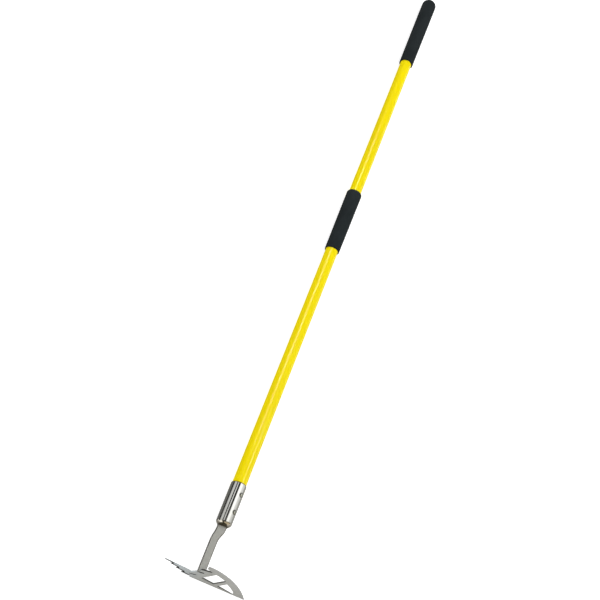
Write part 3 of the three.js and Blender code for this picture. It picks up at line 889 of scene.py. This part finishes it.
def dark_card(name, place, size, shade):
    """A sheet of dark paper on the floor that only what shines can see."""
    paper = bpy.data.materials.new(name)
    paper.use_nodes = True
    shader = paper.node_tree.nodes["Principled BSDF"]
    shader.inputs["Base Color"].default_value = (*shade, 1)
    shader.inputs["Specular IOR Level"].default_value = 0
    deselect()
    bpy.ops.mesh.primitive_plane_add(size=1, location=place)
    card = bpy.context.active_object
    card.name = name
    card.scale = (*size, 1)
    freeze(card)
    card.data.materials.append(paper)
    card.visible_camera = False
    card.visible_diffuse = False
    card.visible_shadow = False


socket_foot = lay @ Vector((0, 0, 0))
card_length = 1.34
card_height = 0.0006
cards_middle_from_foot = 0.668
for name, middle, width, shade in (
    ("left_card", -0.11, 0.17, (0.2, 0.2, 0.19)),
    ("left_far_card", -1.595, 2.8, (0.03, 0.03, 0.03)),
    ("right_card", 0.24, 0.43, (0.45, 0.45, 0.43)),
):
    place = (middle, socket_foot.y + cards_middle_from_foot, card_height)
    dark_card(name, place, (width, card_length), shade)
# The card at the foot is painted shade: what shines sees it where the hoe's shadow lies under the
# socket.
right_of_foot, before_foot = 0.035, 0.04
place = (socket_foot.x + right_of_foot, socket_foot.y - before_foot, 2 * card_height)
dark_card("foot_shade_card", place, size=(0.23, 0.07), shade=(0.36, 0.345, 0.31))

# The panels by their angle round the handle's direction, from the left horizon over the
# top to the right horizon: pairs of degrees and brightness.
panels = (
    (-90, 0.03), (-79, 0.05), (-66, 0.84), (-44, 0.86), (-39, 0.05), (-26, 0.05), (-22, 1.2),
    (-15, 1.2), (-12, 0.04), (12, 0.04), (15, 1.60), (22, 1.60), (40, 1.75), (50, 1.50),
    (60, 1.08), (80, 1.00), (90, 0.85),
)
brightest = max(brightness for angle, brightness in panels)

# What else changes round the room. Each pair says where a blend starts and ends, by the same
# angle or by how far the view turns from the hoe's foot, -1, to the far end, 1. The room is
# dim at the far end. The panel between -28 and -12 degrees stops over the hoe. The wall at
# the foot is brown, deeper towards its edge and almost black in its middle, and a pale window
# stands on its left.
room_light = 0.6
far_end_dims = (0.6, 0.85)
far_end_level = 0.12
short_panel_starts = (math.radians(-32), math.radians(-28))
short_panel_ends = (math.radians(-12), math.radians(-8))
short_panel_stops = (-0.15, 0.12)
short_panel_shaded = 0.95
wall_slant = 0.45
brown_wall_ends = (-0.3, -0.12)
brown_deepens = (-0.72, -0.4)
light_brown = (0.42, 0.36, 0.26, 1)
deep_brown = (0.1, 0.092, 0.07, 1)
window_right_side = (math.radians(-46), math.radians(-40))
window_far_side = (-0.48, -0.34)
window_white = (0.95, 0.93, 0.9, 1)
black_wall_ends = (-0.98, -0.88)
wall_black = (0.015, 0.013, 0.006, 1)
white = (1, 1, 1, 1)

world = bpy.data.worlds.new("studio")
bpy.context.scene.world = world
world.use_nodes = True
tree = world.node_tree
tree.nodes.clear()
world_output = tree.nodes.new("ShaderNodeOutputWorld")
world_light = tree.nodes.new("ShaderNodeBackground")
world_light.inputs["Color"].default_value = white
world_light.inputs["Strength"].default_value = room_light
world_seen = tree.nodes.new("ShaderNodeBackground")
world_seen.inputs["Color"].default_value = white
world_shine = tree.nodes.new("ShaderNodeBackground")
world_mix = tree.nodes.new("ShaderNodeMixShader")
world_mix_shine = tree.nodes.new("ShaderNodeMixShader")
rays = tree.nodes.new("ShaderNodeLightPath").outputs
world_axes = tree.nodes.new("ShaderNodeSeparateXYZ")
tree.links.new(
    tree.nodes.new("ShaderNodeTexCoord").outputs["Generated"], world_axes.inputs["Vector"]
)
across, along, up = (world_axes.outputs[axis] for axis in "XYZ")
roll = sum_of(tree, across, up, "ARCTAN2")
ramp = tree.nodes.new("ShaderNodeValToRGB")
tree.links.new(spread(tree, roll, -math.pi / 2, math.pi / 2, 0, 1), ramp.inputs["Fac"])
while len(ramp.color_ramp.elements) < len(panels):
    ramp.color_ramp.elements.new(0.5)
for element, (angle, brightness) in zip(ramp.color_ramp.elements, panels):
    element.position = (angle + 90) / 180
    share = brightness / brightest
    element.color = (share, share, share, 1)

far_end = spread(tree, along, *far_end_dims, 1, far_end_level)
right_of_start = spread(tree, roll, *short_panel_starts, 0, 1)
left_of_end = spread(tree, roll, *short_panel_ends, 1, 0)
in_panel = sum_of(tree, right_of_start, left_of_end, "MULTIPLY")
shaded = spread(tree, along, *short_panel_stops, short_panel_shaded, 0)
lit = sum_of(tree, 1, sum_of(tree, in_panel, shaded, "MULTIPLY"), "SUBTRACT")
strength = sum_of(tree, sum_of(tree, far_end, brightest, "MULTIPLY"), lit, "MULTIPLY")

slanted = sum_of(tree, along, sum_of(tree, across, wall_slant, "MULTIPLY"), "SUBTRACT")
brown = mixed(tree, spread(tree, slanted, *brown_deepens, 0, 1), light_brown, deep_brown)
room = mixed(tree, spread(tree, slanted, *brown_wall_ends, 1, 0), ramp.outputs["Color"], brown)
left_of_side = spread(tree, roll, *window_right_side, 1, 0)
near_of_side = spread(tree, along, *window_far_side, 1, 0)
in_window = sum_of(tree, left_of_side, near_of_side, "MULTIPLY")
room = mixed(tree, in_window, room, window_white)
room = mixed(tree, spread(tree, along, *black_wall_ends, 1, 0), room, wall_black)
tree.links.new(room, world_shine.inputs["Color"])
tree.links.new(strength, world_shine.inputs["Strength"])
tree.links.new(rays["Is Glossy Ray"], world_mix_shine.inputs["Fac"])
tree.links.new(world_light.outputs["Background"], world_mix_shine.inputs[1])
tree.links.new(world_shine.outputs["Background"], world_mix_shine.inputs[2])
tree.links.new(rays["Is Camera Ray"], world_mix.inputs["Fac"])
tree.links.new(world_mix_shine.outputs["Shader"], world_mix.inputs[1])
tree.links.new(world_seen.outputs["Background"], world_mix.inputs[2])
tree.links.new(world_mix.outputs["Shader"], world_output.inputs["Surface"])


def softbox(name, place, aim, size, power):
    """A lamp with a flat face. What shines doesn't show it, unless that is set later."""
    lamp_data = bpy.data.lights.new(name, "AREA")
    lamp_data.shape = "RECTANGLE"
    lamp_data.size, lamp_data.size_y = size
    lamp_data.energy = power
    lamp = bpy.data.objects.new(name, lamp_data)
    bpy.context.scene.collection.objects.link(lamp)
    lamp.location = place
    lamp.rotation_euler = (Vector(aim) - Vector(place)).to_track_quat("-Z", "Y").to_euler()
    lamp.visible_glossy = False
    return lamp


for name, place, size, power in (
    ("key_softbox", (1.6, 0.6, 2.6), (1.2, 2.6), 48),
    ("fill_softbox", (-2.2, -0.4, 2.2), (1.6, 2.6), 22),
):
    softbox(name, place, (0, 0, 0), size, power)

# Two strip lights over the handle, a long one left of it and a short one at its lower end,
# and a sheet of light on the floor right of it. Only the tube's gloss shows them: the strips
# as pale stripes along the tube, the sheet as a sheen along its right edge.
seen_by_tube = bpy.data.collections.new("seen_by_tube")
seen_by_tube.objects.link(tube)
for name, middle, aim_z, size, power in (
    ("long_strip", (-0.47, 1.37, 1.2), 0, (0.5, 1.34), 105),
    ("short_strip", (0.95, 0.64, 1.2), 0, (0.36, 0.34), 40),
    ("right_sheet", (0.82, 1.6, -0.012), 1, (1.56, 3.0), 80),
):
    aim = (middle[0], middle[1], aim_z)
    strip = softbox(name, lay @ Vector(middle), lay @ Vector(aim), size, power)
    strip.visible_camera = False
    strip.visible_glossy = True
    strip.visible_diffuse = False
    strip.light_linking.receiver_collection = seen_by_tube

bpy.context.view_layer.update()
